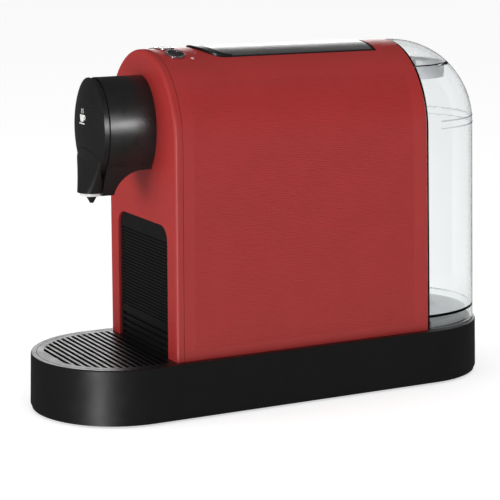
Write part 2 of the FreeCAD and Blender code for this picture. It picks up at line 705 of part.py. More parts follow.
def lever_body():
    """The black lever under the metal skin, with its grip, its knuckles and its toothed sector."""
    outline = plan(LEVER_GRIP_Y, LEVER_GRIP_Y - LEVER_NOSE)
    cover = plan(LEVER_PLATE_Y, LEVER_PLATE_REACH)
    skin = crown_band(-GRIP_PROUD, LEVER_SKIN).common(outline)
    skin = skin.cut(crown_band(-GRIP_PROUD - 1, 0).common(cover))
    skin = skin.cut(crown_band(-1, LEVER_PLATE_T).common(plate_outline()))
    grip = crown_band(LEVER_SKIN - 0.6, LEVER_SKIN + 1.6).common(outline)
    grip = grip.cut(box(-60, LEVER_PLATE_Y - 8, 0, 60, 200, 400))
    scooped = rod(9.0, vec(-60, LEVER_NOSE - 4, CROWN_Z - 11.5), vec(60, LEVER_NOSE - 4, CROWN_Z - 11.5))
    under = arch((LEVER_PLATE_T + LEVER_SKIN) / 2, -90, 110, 150)
    skirt = box(LEVER_HALF - 1.8, LEVER_GRIP_Y, PIVOT_Z - 4, LEVER_HALF, PIVOT_Y - 12, CROWN_Z)
    bridge = box(-LEVER_HALF, LEVER_GRIP_Y - 8, PIVOT_Z - 3.5, LEVER_HALF, LEVER_GRIP_Y + 6, CROWN_Z)
    bridge = bridge.cut(arch(LEVER_SKIN + 1.6, -95, 115, 145)).common(outline)
    pieces = [skin.cut(scooped), grip.cut(scooped), skirt.common(under), mirrored(skirt).common(under)]
    pieces.append(bridge.common(under))
    for x0, x1 in ((-KNUCKLE_OUT, -KNUCKLE_IN), (-GEAR_T / 2, GEAR_T / 2), (KNUCKLE_IN, KNUCKLE_OUT)):
        hub = rod(KNUCKLE_R, vec(x0, PIVOT_Y, PIVOT_Z), vec(x1, PIVOT_Y, PIVOT_Z))
        web = box(x0, PIVOT_Y - 14, PIVOT_Z - 2, x1, PIVOT_Y + 2, CROWN_Z)
        pieces.append(hub.fuse(web).common(under).common(lever_envelope()))
    pieces.append(gear_sector())
    bore = rod(AXLE_R + RUN_FIT, vec(-60, PIVOT_Y, PIVOT_Z), vec(60, PIVOT_Y, PIVOT_Z))
    return largest(fuse(*pieces).cut(bore))


def lever_axle():
    return rod(AXLE_R, vec(-KNUCKLE_OUT, PIVOT_Y, PIVOT_Z), vec(KNUCKLE_OUT, PIVOT_Y, PIVOT_Z))


def lever_bracket():
    """The two ears that hold the lever's axle, on a beam from the chassis."""
    beam_z = 203.0
    beam = box(-EAR_OUT, PIVOT_Y - 8, beam_z, EAR_OUT, CHASSIS_REAR, beam_z + CHASSIS_T)
    pieces = [beam]
    for x0, x1 in ((-EAR_OUT, -EAR_IN), (EAR_IN, EAR_OUT)):
        pieces.append(box(x0, PIVOT_Y - 5, beam_z, x1, PIVOT_Y + 5, PIVOT_Z - 4))
        pieces.append(box(x0, PIVOT_Y - EAR_R, beam_z, x1, PIVOT_Y + EAR_R, PIVOT_Z))
        pieces.append(rod(EAR_R, vec(x0, PIVOT_Y, PIVOT_Z), vec(x1, PIVOT_Y, PIVOT_Z)))
    return fuse(*pieces).cut(rod(AXLE_R, vec(-60, PIVOT_Y, PIVOT_Z), vec(60, PIVOT_Y, PIVOT_Z)))


# ---- buttons ----------------------------------------------------------------------------------------------
def button_places():
    return (-BUTTON_STEP, 0.0, BUTTON_STEP)


def along_normal(shape, x, y):
    """A shape drawn about the origin with its axis up, stood on the crown at x, y."""
    stood = shape.copy()
    stood.rotate(vec(0, 0, 0), vec(0, 1, 0), crown_tilt(x))
    return stood.translated(vec(x, y, crown_height(x)))


def button(x):
    stem = rod(BUTTON_R, vec(0, 0, -6.5), vec(0, 0, 0.6))
    stem = stem.makeFillet(0.5, [e for e in stem.Edges if e.BoundBox.ZMin > 0.5])
    flange = rod(BUTTON_R + 1.2, vec(0, 0, -6.5), vec(0, 0, -5.2))
    return along_normal(fuse(stem, flange), x, BUTTON_Y)


def button_rings():
    ring = tube(RING_R, BUTTON_R + GAP, vec(0, 0, -3.0), vec(0, 0, 0.9))
    ring = ring.makeFillet(0.45, [e for e in ring.Edges if e.BoundBox.ZMin > 0.8])
    return [along_normal(ring, x, BUTTON_Y) for x in button_places()]


def tact_switches():
    body = fuse(rod(3.4, vec(0, 0, -11.4), vec(0, 0, -9.0)), rod(1.6, vec(0, 0, -9.5), vec(0, 0, -8.3)))
    return [along_normal(body, x, BUTTON_Y) for x in button_places()]


def button_carrier():
    """The curved board under the buttons."""
    board = arch(11.5, -90, -66, 150).cut(arch(13.1, -95, -60, 145))
    return largest(board.common(box(-27, -100, 225, 27, -60, 300)))


def status_lights():
    light = rod(LED_R, vec(0, 0, -3.0), vec(0, 0, 0.1))
    return [along_normal(light, x, LED_Y) for x in (-LED_X, LED_X)]


# ---- brew unit --------------------------------------------------------------------------------------------
def rack_teeth():
    """Straight-sided teeth on top of the rack, in mesh with the lever's sector at rest."""
    pitch = math.pi * GEAR_MODULE
    slope = math.tan(PRESSURE)
    half = pitch / 4 - BACKLASH / 2
    low = -1.25 * GEAR_MODULE
    high = 0.9 * GEAR_MODULE
    teeth = []
    for index in range(-1, 4):
        y = PIVOT_Y + (index + 0.5) * pitch
        corners = [(y - half + slope * low, low), (y - half + slope * high, high),
                   (y + half - slope * high, high), (y + half - slope * low, low)]
        points = [vec(-GEAR_T / 2, py, RACK_Z + pz) for py, pz in corners]
        teeth.append(Part.Face(Part.makePolygon(points + points[:1])).extrude(vec(GEAR_T, 0, 0)))
    return teeth


def cage_carriage():
    """The capsule cage and the frame and rack that the lever drives it with."""
    cup = rod(CAGE_R, vec(0, CAGE_FRONT, BREW_Z), vec(0, CAGE_REAR, BREW_Z))
    cup = cup.cut(rod(CAGE_R - 2.6, vec(0, CAGE_FRONT + 4, BREW_Z), vec(0, 0, BREW_Z)))
    cup = cup.cut(rod(2.5, vec(0, CAGE_FRONT - 5, BREW_Z - 13), vec(0, CAGE_FRONT + 6, BREW_Z - 13)))
    top = RACK_Z - 1.25 * GEAR_MODULE + 0.1
    low = top - 7.0
    lug = box(CAGE_R - 2.5, CAGE_FRONT + 6, BREW_Z - 4, BAR_X + BAR_T, CAGE_FRONT + 16, top)
    lug = lug.cut(rod(CAGE_R - 1, vec(0, -100, BREW_Z), vec(0, 0, BREW_Z)))
    bar = box(BAR_X, CAGE_FRONT + 6, low, BAR_X + BAR_T, 28, top)
    cross = box(-BAR_X - BAR_T, 22, low, BAR_X + BAR_T, 28, top)
    spine = box(-GEAR_T / 2, 22, low, GEAR_T / 2, PIVOT_Y + 22.5, top)
    return largest(fuse(cup, lug, mirrored(lug), bar, mirrored(bar), cross, spine, *rack_teeth()))


def brew_frame():
    """The fixed frame that guides the carriage and holds the injector."""
    cheek = box(BAR_X + BAR_T + 1.2, -86, BULKHEAD_TOP, BAR_X + BAR_T + 4.2, 30, 232)
    low_bar = RACK_Z - 1.25 * GEAR_MODULE - 7.5
    wall = box(-BAR_X - BAR_T - 2, INJECTOR_Y1, BULKHEAD_TOP, BAR_X + BAR_T + 2, INJECTOR_Y1 + 4, low_bar - 1)
    tie = box(-BAR_X - BAR_T - 2, -86, 229, BAR_X + BAR_T + 2, -80, 232)
    return largest(fuse(cheek, mirrored(cheek), wall, tie))


def injector_plate():
    """The round plate with three needles that pierces the capsule and lets the water in."""
    disc = rod(CAGE_R - 0.4, vec(0, INJECTOR_Y0, BREW_Z), vec(0, INJECTOR_Y1, BREW_Z))
    needles = []
    for turn in (90, 210, 330):
        x = 9 * math.cos(math.radians(turn))
        z = BREW_Z + 9 * math.sin(math.radians(turn))
        needles.append(Part.makeCone(1.4, 0.4, 5.0, vec(x, INJECTOR_Y0 + 0.2, z), vec(0, -1, 0)))
    return fuse(disc, *needles)


def injector_seal():
    """The rubber ring between the cage and the injector."""
    return tube(CAGE_R - 3.4, CAGE_R - 5.6, vec(0, INJECTOR_Y0 - 1.2, BREW_Z), vec(0, INJECTOR_Y0, BREW_Z))


def capsule_chute():
    """The funnel under the lever that a capsule drops through."""
    z0 = RACK_Z + 0.2
    outer = box(-CHUTE_HALF - 1.4, -55.4, z0, CHUTE_HALF + 1.4, -26.1, 243)
    hollow = box(-CHUTE_HALF, -54, z0 - 5, CHUTE_HALF, -27.5, 250)
    wing = box(CHUTE_HALF, -50, 232, BAR_X + BAR_T + 4.2, -32, 234)
    return largest(fuse(outer, wing, mirrored(wing)).cut(hollow))


def thermoblock():
    """The aluminium water heater, with cooling ribs of its casting."""
    block = box(-26, INJECTOR_Y1 + 4.2, BULKHEAD_TOP + 0.5, 26, 20, 210)
    ribs = [box(-26 + i * 8, 18, BULKHEAD_TOP - 1, -22 + i * 8, 24, 215) for i in range(7)]
    inlet = rod(3.2, vec(-16, 15, 192), vec(-16, 23, 192))
    return largest(block.cut(Part.makeCompound(ribs)).fuse(inlet).removeSplitter())


def thermostat():
    return fuse(rod(8, vec(12, 2, 210), vec(12, 2, 214)), rod(5, vec(12, 2, 214), vec(12, 2, 216)))


def thermal_fuse():
    return rod(2.0, vec(-16, -6, 212), vec(-16, 12, 212))


# ---- water and power --------------------------------------------------------------------------------------
def hose(points, radius):
    """A hose through the points: straight runs joined by tangent arcs as large as the runs allow."""
    knots = [vec(*p) for p in points]
    edges = []
    start = knots[0]
    for before, corner, after in zip(knots, knots[1:], knots[2:]):
        inward = (corner - before).normalize()
        outward = (after - corner).normalize()
        turn = inward.getAngle(outward)
        shorter = min((corner - before).Length, (after - corner).Length)
        reach = 0.45 * shorter
        bend = reach / math.tan(turn / 2)
        print("hose bend radius", round(bend, 1), "for a diameter of", 2 * radius)
        first = corner - inward * reach
        last = corner + outward * reach
        middle = corner + (outward - inward).normalize() * bend * (1 / math.cos(turn / 2) - 1)
        edges.append(Part.LineSegment(start, first).toShape())
        edges.append(Part.Arc(first, middle, last).toShape())
        start = last
    edges.append(Part.LineSegment(start, knots[-1]).toShape())
    heading = (knots[1] - knots[0]).normalize()
    ring = Part.Wire([Part.Circle(knots[0], heading, radius).toShape()])
    return Part.Wire(edges).makePipeShell([ring], True, False)


def suction_hose():
    return hose([(0, VALVE_Y - SOCKET_R - 0.2, 22), (0, 110, 22), (PUMP_X, 94, 20), (PUMP_X, 78, 20)], 2.2)


def feed_hose():
    return rod(FEED_R, vec(PUMP_X, PUMP_Y, FEED_LOW), vec(PUMP_X, PUMP_Y, FEED_HIGH))


def pressure_hose():
    return hose([(PUMP_X, PUMP_Y, PUMP_TOP), (PUMP_X, PUMP_Y, 182), (-16, 40, 192), (-16, 23, 192)], 2.0)


def flow_meter():
    drum = rod(12, vec(PUMP_X, 64, PLATE_TOP + 1), vec(PUMP_X, 64, 27))
    inlet = rod(2.2, vec(PUMP_X, 70, 20), vec(PUMP_X, 78, 20))
    elbow = box(PUMP_X - 4, PUMP_Y - 4, 18, PUMP_X + 4, 60, 26)
    outlet = rod(FEED_R, vec(PUMP_X, PUMP_Y, 20), vec(PUMP_X, PUMP_Y, FEED_LOW))
    return largest(fuse(drum, inlet, elbow, outlet))


def pump():
    """The vibration pump: a coil block round an upright cylinder."""
    barrel = rod(9, vec(PUMP_X, PUMP_Y, 62), vec(PUMP_X, PUMP_Y, 148))
    coil = box(PUMP_X - 16, PUMP_Y - 16, 82, PUMP_X + 16, PUMP_Y + 16, 124)
    coil = coil.makeFillet(3, [edge for edge in coil.Edges if edge.BoundBox.ZLength > 40])
    stubs = rod(FEED_R, vec(PUMP_X, PUMP_Y, FEED_HIGH), vec(PUMP_X, PUMP_Y, PUMP_TOP))
    return fuse(barrel, coil, stubs)


def pump_mounts():
    spans = ((CHASSIS_Z + 21, CHASSIS_Z + 29), (129, 137))
    return [tube(13, 9, vec(PUMP_X, PUMP_Y, z0), vec(PUMP_X, PUMP_Y, z1)) for z0, z1 in spans]


def chassis():
    """The inner frame: floor, two walls and the shelves that hold the pump."""
    floor = box(-50, -19, DECK_Z, 50, CHASSIS_REAR, CHASSIS_Z)
    front = box(-50, -19, DECK_Z, 50, -16, BULKHEAD_TOP)
    rear = box(-30, CHASSIS_REAR - 3, DECK_Z, 30, CHASSIS_REAR, 203)
    post = box(PUMP_X - 20, PUMP_Y - 10, DECK_Z, PUMP_X - 17, PUMP_Y + 10, 129)
    shelf_low = box(PUMP_X - 20, PUMP_Y - 14, CHASSIS_Z + 18, PUMP_X + 14, PUMP_Y + 14, CHASSIS_Z + 21)
    shelf_high = box(PUMP_X - 20, PUMP_Y - 14, 126, PUMP_X + 14, PUMP_Y + 14, 129)
    whole = fuse(floor, front, rear, post, shelf_low, shelf_high)
    whole = whole.cut(rod(HOSE_HOLE_R, vec(PUMP_X, PUMP_Y, 30), vec(PUMP_X, PUMP_Y, 60)))
    return whole.cut(rod(9.5, vec(PUMP_X, PUMP_Y, 60), vec(PUMP_X, PUMP_Y, 140)))


def power_board():
    """The upright circuit board with its large components."""
    board = box(44, 0, CHASSIS_Z, 45.6, 84, 132)
    parts = [
        box(26, 8, 56, 44, 34, 80),
        box(32, 44, 60, 44, 60, 82),
        rod(7, vec(44, 20, 104), vec(24, 20, 104)),
        rod(5, vec(44, 48, 104), vec(28, 48, 104)),
        box(34, 62, 96, 44, 78, 122),
    ]
    return fuse(board, *parts)


def button_lead():
    """The cable from the power board up to the buttons."""
    route = [
        (39, 8, 132.4), (40, 6, 152), (42, -4, 172), (42, -20, 192), (40, -38, 210), (35, -54, 225),
        (25, -65.2, 235.4),
    ]
    return hose(route, 1.4)


# ---- tank -------------------------------------------------------------------------------------------------
def tank_solid(inset, z0, z1):
    """The upright tank's outline, inset evenly, between two heights."""
    front = REAR_Y + GAP + inset
    hull = arch_dome(inset, DECK_Z - 20)
    if front < TANK_AXIS_Y:
        hull = hull.fuse(arch(inset, front, TANK_AXIS_Y, DECK_Z - 20)).removeSplitter()
    return hull.common(box(-100, front, z0, 100, 300, z1))


def water_tank():
    """The clear tank behind the body, open on top, with its valve housing in the floor."""
    shell = tank_solid(0.2, TANK_Z, LID_Z).cut(tank_solid(TANK_WALL, TANK_FLOOR_Z + TANK_WALL, 300))
    shell = shell.cut(tank_solid(TANK_WALL, 0, TANK_FLOOR_Z))
    shell = slanted(shell)
    axis_low = vec(0, VALVE_Y, BOSS_Z)
    boss = tube(BOSS_OUT, BOSS_IN, axis_low, vec(0, VALVE_Y, TANK_FLOOR_Z + 0.5))
    web = rod(BOSS_IN + 0.5, vec(0, VALVE_Y, WEB_Z), vec(0, VALVE_Y, WEB_Z + WEB_T))
    web = web.cut(rod(STEM_R + RUN_FIT, axis_low, vec(0, VALVE_Y, TANK_FLOOR_Z)))
    for turn in range(3):
        drain = rod(1.2, vec(4.4, VALVE_Y, 0), vec(4.4, VALVE_Y, TANK_FLOOR_Z))
        drain.rotate(axis_low, vec(0, 0, 1), 120 * turn)
        web = web.cut(drain)
    port = rod(PORT_R, vec(0, VALVE_Y, TANK_FLOOR_Z - 1), vec(0, VALVE_Y, TANK_FLOOR_Z + TANK_WALL + 1))
    return largest(fuse(shell.cut(port), boss.cut(port), web))


def tank_lid():
    """The clear lid that carries the crown's line on over the tank."""
    lid = tank_solid(0.2, LID_Z + SEAM, 400).cut(tank_solid(TANK_WALL, 0, 400))
    return largest(slanted(lid))


def lid_rim():
    """The frosted collar under the lid that hangs straight down into the tank's mouth."""
    outer_inset = TANK_WALL + GAP
    collar = straight_skirt(outer_inset).cut(straight_skirt(outer_inset + COLLAR_WALL))
    collar = collar.cut(arch(0, 0, 300, LID_Z).cut(tank_solid(TANK_WALL + 0.02, LID_Z - 1, 400)))
    return largest(slanted(collar))


def straight_skirt(inset):
    """The mouth's outline, inset, drawn straight down into the tank and up into the lid."""
    slab = tank_solid(inset, LID_Z, LID_Z + 1)
    floor = min(slab.Faces, key=lambda face: face.CenterOfMass.z)
    return floor.translated(vec(0, 0, -LID_SKIRT)).extrude(vec(0, 0, LID_SKIRT + COLLAR_REACH))


def tank_valve():
    """The spring-loaded plunger that seals the tank when it is lifted off."""
    floor_top = TANK_FLOOR_Z + TANK_WALL
    disc = rod(2 * PORT_R, vec(0, VALVE_Y, floor_top + 0.1), vec(0, VALVE_Y, floor_top + 1.8))
    stem = rod(STEM_R, vec(0, VALVE_Y, BOSS_Z + 0.5), vec(0, VALVE_Y, floor_top + 1))
    collar = rod(SPRING_R + 0.8, vec(0, VALVE_Y, COLLAR_Z), vec(0, VALVE_Y, COLLAR_Z + COLLAR_T))
    return fuse(disc, stem, collar)


def valve_spring():
    """The closing spring, between the stem's collar and the underside of the floor."""
    low = COLLAR_Z + COLLAR_T + SPRING_WIRE_R + 0.02
    height = TANK_FLOOR_Z - SPRING_WIRE_R - 0.05 - low
    helix = Part.makeHelix(height / SPRING_TURNS, height, SPRING_R)
    sides = 8
    ring = []
    for side in range(sides + 1):
        angle = 2 * math.pi * (side + 0.5) / sides
        ring.append(vec(SPRING_R + SPRING_WIRE_R * math.cos(angle), 0, SPRING_WIRE_R * math.sin(angle)))
    coil = Part.Wire(helix).makePipeShell([Part.makePolygon(ring)], True, True)
    return coil.translated(vec(0, VALVE_Y, low))


def tank_dock():
    """The grey plate on the base that the tank stands over."""
    plate = tank_solid(DOCK_INSET, DECK_Z, DECK_Z + 5)
    return plate.cut(rod(SOCKET_R + 2.2, vec(0, VALVE_Y, 0), vec(0, VALVE_Y, 90)))


def tank_socket():
    """The socket in the base that the tank's valve housing plugs into."""
    cup = rod(SOCKET_R - 0.1, vec(0, VALVE_Y, 14), vec(0, VALVE_Y, DECK_Z))
    flange = rod(SOCKET_R + 2, vec(0, VALVE_Y, DECK_Z), vec(0, VALVE_Y, DECK_Z + 1.5))
    bore = rod(BOSS_OUT + GAP, vec(0, VALVE_Y, BOSS_Z - 1.8), vec(0, VALVE_Y, DECK_Z + 5))
    sump = rod(4.5, vec(0, VALVE_Y, 18), vec(0, VALVE_Y, DECK_Z))
    drain = rod(1.6, vec(0, VALVE_Y, 22), vec(0, 120, 22))
    return fuse(cup, flange).cut(bore).cut(sump).cut(drain)


def socket_seal():
    return tube(BOSS_OUT + 0.1, 5.0, vec(0, VALVE_Y, BOSS_Z - 1.8), vec(0, VALVE_Y, BOSS_Z - 0.3))


# ---- export -----------------------------------------------------------------------------------------------
NODES = [
    base_shell, base_plate, rubber_feet, base_screws, mains_inlet, drip_tray, drip_grid, capsule_bin,
    front_frame, casing, rear_cover, head_housing, head_ring, head_cap, spout_cover, outlet_nozzle,
    nozzle_tip, outlet_duct, lever_body, lever_plate, lever_axle, lever_bracket, button_rings,
    tact_switches, button_carrier, status_lights, cage_carriage, brew_frame, injector_plate,
    injector_seal, capsule_chute, thermoblock, thermostat, thermal_fuse, suction_hose, feed_hose,
    pressure_hose, flow_meter, pump, pump_mounts, chassis, power_board, button_lead, water_tank,
    tank_lid, lid_rim, tank_valve, valve_spring, tank_dock, tank_socket, socket_seal,
]
BUTTON_NAMES = ("button_left", "button_centre", "button_right")


def save(name, shape):
    solids = shape if isinstance(shape, list) else [shape]
    whole = solids[0] if len(solids) == 1 else Part.makeCompound(solids)
    if not whole.isValid():
        print("NOT VALID", name)
    print(name, len(whole.Solids), "solid(s)", round(whole.Volume / 1000, 2), "cm3")
    whole.exportStep("parts/" + name + ".step")


for make in NODES:
    save(make.__name__, make())
for name, x in zip(BUTTON_NAMES, button_places()):
    save(name, button(x))
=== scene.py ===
"""Looks of the capsule espresso machine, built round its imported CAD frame.

Places come from the CAD nodes' boxes and surfaces, and heights count from the floor.  The object's sizes are
written in millimetres and turned into metres with MM.  The stage is in metres.
"""
import json
import math

import bmesh
import bpy
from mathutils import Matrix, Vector
from mathutils.bvhtree import BVHTree


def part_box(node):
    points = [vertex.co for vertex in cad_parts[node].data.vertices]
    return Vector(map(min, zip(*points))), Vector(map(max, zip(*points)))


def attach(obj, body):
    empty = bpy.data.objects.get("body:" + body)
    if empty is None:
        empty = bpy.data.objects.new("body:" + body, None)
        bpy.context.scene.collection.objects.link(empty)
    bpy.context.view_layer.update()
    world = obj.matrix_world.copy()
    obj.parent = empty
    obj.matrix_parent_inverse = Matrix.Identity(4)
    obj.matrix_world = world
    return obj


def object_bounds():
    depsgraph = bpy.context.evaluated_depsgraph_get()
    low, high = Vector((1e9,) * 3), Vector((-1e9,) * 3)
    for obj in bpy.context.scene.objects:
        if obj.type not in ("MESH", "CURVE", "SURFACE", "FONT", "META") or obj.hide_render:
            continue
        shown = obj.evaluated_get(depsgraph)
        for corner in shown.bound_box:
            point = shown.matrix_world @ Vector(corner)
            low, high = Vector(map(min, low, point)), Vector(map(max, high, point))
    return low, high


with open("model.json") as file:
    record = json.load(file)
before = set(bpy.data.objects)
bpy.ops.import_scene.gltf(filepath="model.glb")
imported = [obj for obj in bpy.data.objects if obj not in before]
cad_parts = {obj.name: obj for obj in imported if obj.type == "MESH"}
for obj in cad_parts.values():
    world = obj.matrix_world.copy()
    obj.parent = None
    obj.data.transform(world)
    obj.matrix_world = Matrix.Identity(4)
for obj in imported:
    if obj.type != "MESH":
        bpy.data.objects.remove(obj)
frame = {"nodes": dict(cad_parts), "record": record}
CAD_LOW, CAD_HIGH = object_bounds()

MM = 0.001
NODES = frame["nodes"]
SLOT_OF = {part["node"]: part["material_slot"] for part in frame["record"]["subparts"]}

# camera
CAMERA_AZIMUTH = math.radians(62.11)
CAMERA_ELEVATION = math.radians(11.09)
CAMERA_DISTANCE = 1.3602
CAMERA_TARGET = Vector((0.0, -0.00989, 0.1048))
CAMERA_LENS = 130.98                   # focal length and sensor width in millimetres
CAMERA_SENSOR = 36.0

# materials
NOISE_ROUGHNESS = 0.55
FACTOR_LOW = 0.3                       # noise stays between these two nearly everywhere
FACTOR_HIGH = 0.7
SCRATCH_STRETCH = 30.0                 # a scratch's length over its width
TRACK_STRETCH = (1.0, 1.0, 6.0)        # a board's tracks run on through its thickness

# nodes and pieces
PIECE_SHARP = math.radians(35)         # edges sharper than these stay sharp in smooth shading
NODE_SHARP = math.radians(24)

# ribs on the red cover
RIB_PITCH = 1.6 * MM
RIB_WIDTH = 0.8 * MM                   # across its foot
RIB_CREST = 0.32 * MM                  # across its flat top
RIB_PROUD = 0.18 * MM
RIB_SUNK = 0.10 * MM
RIB_LOW = 50 * MM                      # lowest and highest rib above the floor
RIB_HIGH = 236 * MM
RIB_FRONT_GAP = 9 * MM                 # plain borders at the cover's front and rear edges
RIB_REAR_GAP = 12 * MM
RIB_AXIS_Z = 195 * MM                  # the sides are upright below this and lean in above it
RIB_SEARCH_TURN = 0.00064              # step of the search for the next rib over the shoulder, in radians
EDGE_BAND = 1 * MM                     # corners this near the foot or crown count as being on it

# pictogram
CUP_RIM_Z = 214 * MM                   # the cup's rim above the floor; the drawing's z starts there
CUP_HALF = 3.8 * MM
CUP_DEPTH = 5.0 * MM
CUP_TAPER = 0.85                       # its side is a quarter ellipse, cut off at this share of its depth
CUP_STROKE = 0.9 * MM
HANDLE_X = 0.92 * CUP_HALF             # middle of the handle's bow, its two radii, its turn each way
HANDLE_Z = -1.9 * MM
HANDLE_OUT = 1.7 * MM
HANDLE_UP = 1.6 * MM
HANDLE_TURN = math.radians(80)
SAUCER_DROP = 1.2 * MM                 # below the cup
SAUCER_HALF = 1.15 * CUP_HALF
STEAM_X = 1.4 * MM                     # the two wisps stand this far from the middle
STEAM_SWING = 0.5 * MM
STEAM_LOW = 1.0 * MM
STEAM_RISE = 3.2 * MM
STEAM_STROKE = 0.8 * CUP_STROKE
DRAWING_STEPS = 8
MARK_PROUD = 0.10 * MM
MARK_SUNK = 0.15 * MM

# level lines on the tank
TANK_LINES = (                         # each ridge's middle above the floor, and its width
    (200 * MM, 1.0 * MM),
    (194.5 * MM, 0.7 * MM),
)
LINE_PROUD = 0.25 * MM
LINE_SUNK = 0.10 * MM
LINE_CENTRE = 0.3                      # the middle of the sweep, as a share of the tank's length
LINE_START = math.radians(-8)          # a little ahead of the right side
LINE_SWEEP = math.radians(196)
LINE_STEPS = 72

# stage
FLOOR_HALF = 12.0
FLOOR_GLOW = 0.56                      # lifts the floor to near white
SKY_LEVEL = 0.08
SUN_POWER = 1.25
SUN_ANGLE = math.radians(80)           # a wide sun, for soft shadows
HEAD_NODES = ("head_housing", "head_ring", "head_cap", "spout_cover")     # what the band lamp lights
TOP_NODES = (                          # what the backdrop lamp lights
    "base_shell", "drip_grid", "lever_plate", "lever_body", "casing", "button_rings",
    "button_left", "button_centre", "button_right", "tank_dock",
)
HEAD_CENTRE = sum((Vector(corner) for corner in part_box("head_housing")), Vector()) / 2


# ---- camera --------------------------------------------------------------------------------------
def toward(azimuth, elevation):
    """The direction from the object to something seen at that azimuth and elevation."""
    level = math.cos(elevation)
    return Vector((math.sin(azimuth) * level, -math.cos(azimuth) * level, math.sin(elevation)))


def add_camera():
    """The camera, at its distance from the target and turned to it."""
    camera = bpy.data.objects.new("camera", bpy.data.cameras.new("camera"))
    bpy.context.scene.collection.objects.link(camera)
    back = toward(CAMERA_AZIMUTH, CAMERA_ELEVATION)
    camera.data.lens = CAMERA_LENS
    camera.data.sensor_width = CAMERA_SENSOR
    camera.location = CAMERA_TARGET + back * CAMERA_DISTANCE
    camera.rotation_euler = (-back).to_track_quat("-Z", "Y").to_euler()
    bpy.context.scene.camera = camera


# ---- materials -----------------------------------------------------------------------------------
class Look:
    """A node material in the making: its shader, and short calls for the nodes that feed it."""

    def __init__(self, name, colour, **constants):
        self.material = bpy.data.materials.new(name)
        self.material.use_nodes = True
        self.tree = self.material.node_tree
        self.shader = self.tree.nodes["Principled BSDF"]
        self.colour = colour
        for constant, value in constants.items():      # Coat_Weight sets the socket Coat Weight
            socket = constant.replace("_", " ").title().replace("Ior", "IOR")
            self.shader.inputs[socket].default_value = value
        self.place = self.tree.nodes.new("ShaderNodeTexCoord").outputs["Object"]
        self.normal = None

    def link(self, source, target):
        """A link from an output to an input."""
        self.tree.links.new(source, target)

    def node(self, kind, **values):
        """A new node with these values on its inputs."""
        made = self.tree.nodes.new(kind)
        for name, value in values.items():
            made.inputs[name].default_value = value
        return made

    def noise(self, size, detail=2.0, stretch=(1.0, 1.0, 1.0)):
        """Noise with features of that size in metres, drawn out along an axis by its stretch."""
        mapping = self.node("ShaderNodeMapping", Scale=[1.0 / (size * times) for times in stretch])
        self.link(self.place, mapping.inputs["Vector"])
        made = self.node("ShaderNodeTexNoise", Scale=1.0, Detail=detail, Roughness=NOISE_ROUGHNESS)
        self.link(mapping.outputs["Vector"], made.inputs["Vector"])
        return made.outputs["Fac"]

    def tint(self, factor, amount):
        """The base colour, from darker to lighter by that share as the factor goes from low to high."""
        ramp = self.tree.nodes.new("ShaderNodeValToRGB")
        ends = ((FACTOR_LOW, 1.0 - amount), (FACTOR_HIGH, 1.0 + amount))
        for element, (position, gain) in zip(ramp.color_ramp.elements, ends):
            element.position = position
            element.color = [min(1.0, channel * gain) for channel in self.colour] + [1.0]
        self.link(factor, ramp.inputs["Fac"])
        self.link(ramp.outputs["Color"], self.shader.inputs["Base Color"])

    def gloss(self, factor, low, high):
        """Roughness, from low to high as the factor does."""
        ends = {"From Min": FACTOR_LOW, "From Max": FACTOR_HIGH, "To Min": low, "To Max": high}
        span = self.node("ShaderNodeMapRange", **ends)
        self.link(factor, span.inputs["Value"])
        self.link(span.outputs["Result"], self.shader.inputs["Roughness"])

    def bump(self, height, depth, strength=1.0):
        """Relief of that depth in metres, laid over any bump before it."""
        relief = self.node("ShaderNodeBump", Strength=strength, Distance=depth)
        self.link(height, relief.inputs["Height"])
        if self.normal is not None:
            self.link(self.normal, relief.inputs["Normal"])
        self.normal = relief.outputs["Normal"]
        self.link(self.normal, self.shader.inputs["Normal"])


def moulded(name, colour, roughness, grain, depth):
    """Moulded plastic or rubber: slight mottling, patchy gloss and a fine grain in its surface."""
    look = Look(name, colour)
    look.tint(look.noise(size=18 * MM, detail=3.0), amount=0.05)
    look.gloss(look.noise(size=9 * MM, detail=4.0), low=roughness - 0.04, high=roughness + 0.05)
    look.bump(look.noise(size=grain), depth)
    look.bump(look.noise(size=30 * MM, detail=1.0), depth=0.05 * MM, strength=0.5)
    return look.material


def painted_red():
    """The cover's satin red, with a fine texture under a thin coat."""
    look = Look("satin red", (0.385, 0.030, 0.028), Coat_Weight=0.10, Coat_Roughness=0.25)
    look.tint(look.noise(size=25 * MM, detail=3.0), amount=0.03)
    look.gloss(look.noise(size=6 * MM, detail=3.0), low=0.36, high=0.44)
    look.bump(look.noise(size=0.9 * MM), depth=0.012 * MM)
    return look.material


def brushed(name, colour, along, roughness, depth=0.012 * MM):
    """Metal with fine scratches that run along one axis."""
    stretch = [SCRATCH_STRETCH if axis == along else 1.0 for axis in "xyz"]
    look = Look(name, colour, Metallic=1.0)
    scratches = look.noise(size=0.35 * MM, detail=4.0, stretch=stretch)
    look.tint(scratches, amount=0.12)
    look.gloss(scratches, low=roughness - 0.07, high=roughness + 0.09)
    look.bump(scratches, depth, strength=0.6)
    return look.material


def clear(name, colour, low, high, relief):
    """Clear moulded plastic with faint smudges and the slow ripple of its wall."""
    look = Look(name, colour, Transmission_Weight=1.0, Ior=1.46)
    look.tint(look.noise(size=35 * MM), amount=0.01)
    look.gloss(look.noise(size=14 * MM, detail=3.0), low, high)
    look.bump(look.noise(size=28 * MM, detail=1.0), relief, strength=0.4)
    return look.material


def circuit_board():
    """Green lacquer over the tracks of a board."""
    look = Look("solder resist", (0.02, 0.12, 0.05), Coat_Weight=0.5)
    look.tint(look.noise(size=2.5 * MM, detail=1.0, stretch=TRACK_STRETCH), amount=0.5)
    look.gloss(look.noise(size=5 * MM), low=0.3, high=0.45)
    look.bump(look.noise(size=2.5 * MM, detail=1.0, stretch=TRACK_STRETCH), depth=0.05 * MM)
    return look.material


